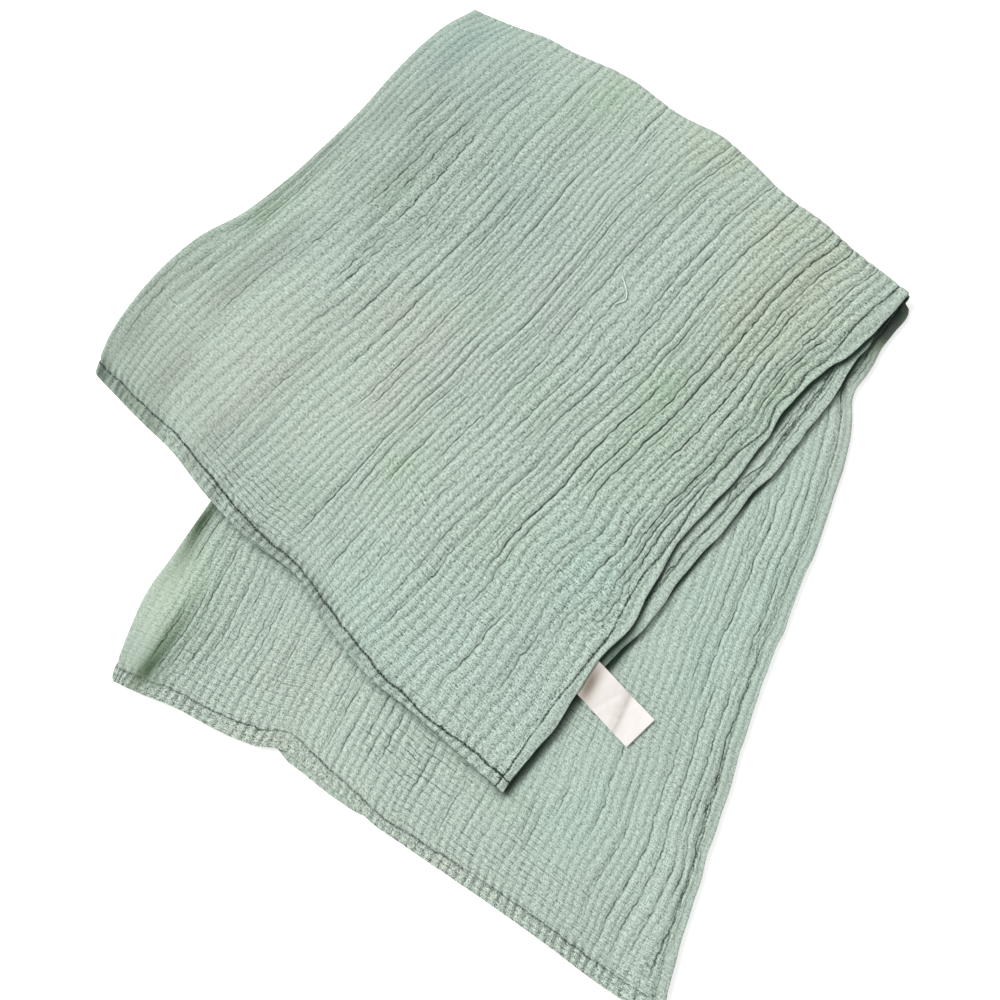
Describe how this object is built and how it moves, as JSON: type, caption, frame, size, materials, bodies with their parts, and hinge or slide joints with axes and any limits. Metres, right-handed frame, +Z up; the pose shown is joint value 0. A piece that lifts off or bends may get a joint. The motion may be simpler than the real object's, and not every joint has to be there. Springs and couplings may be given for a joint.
{
  "type": "swaddle blanket",
  "caption": "Baby's swaddle blanket of crinkled double gauze muslin, folded lengthwise and crosswise with its lower half fanned out, with a sewn-in care label.",
  "frame": {"origin": "middle of the folded blanket's footprint, on the surface it lies on", "axes": "+Z up out of the surface, +Y away from the viewer of the picture, towards the crosswise fold's left end, +X to the viewer's right"},
  "size_m": [0.7058, 0.8971, 0.0194],
  "materials": {
    "muslin": "matt crinkled cotton double gauze in sage green, with fine lengthwise crinkles",
    "label_satin": "smooth white satin ribbon, bare"
  },
  "bodies": {
    "root": {"blanket": "muslin", "care_label": "label_satin"}
  },
  "joints": []
}
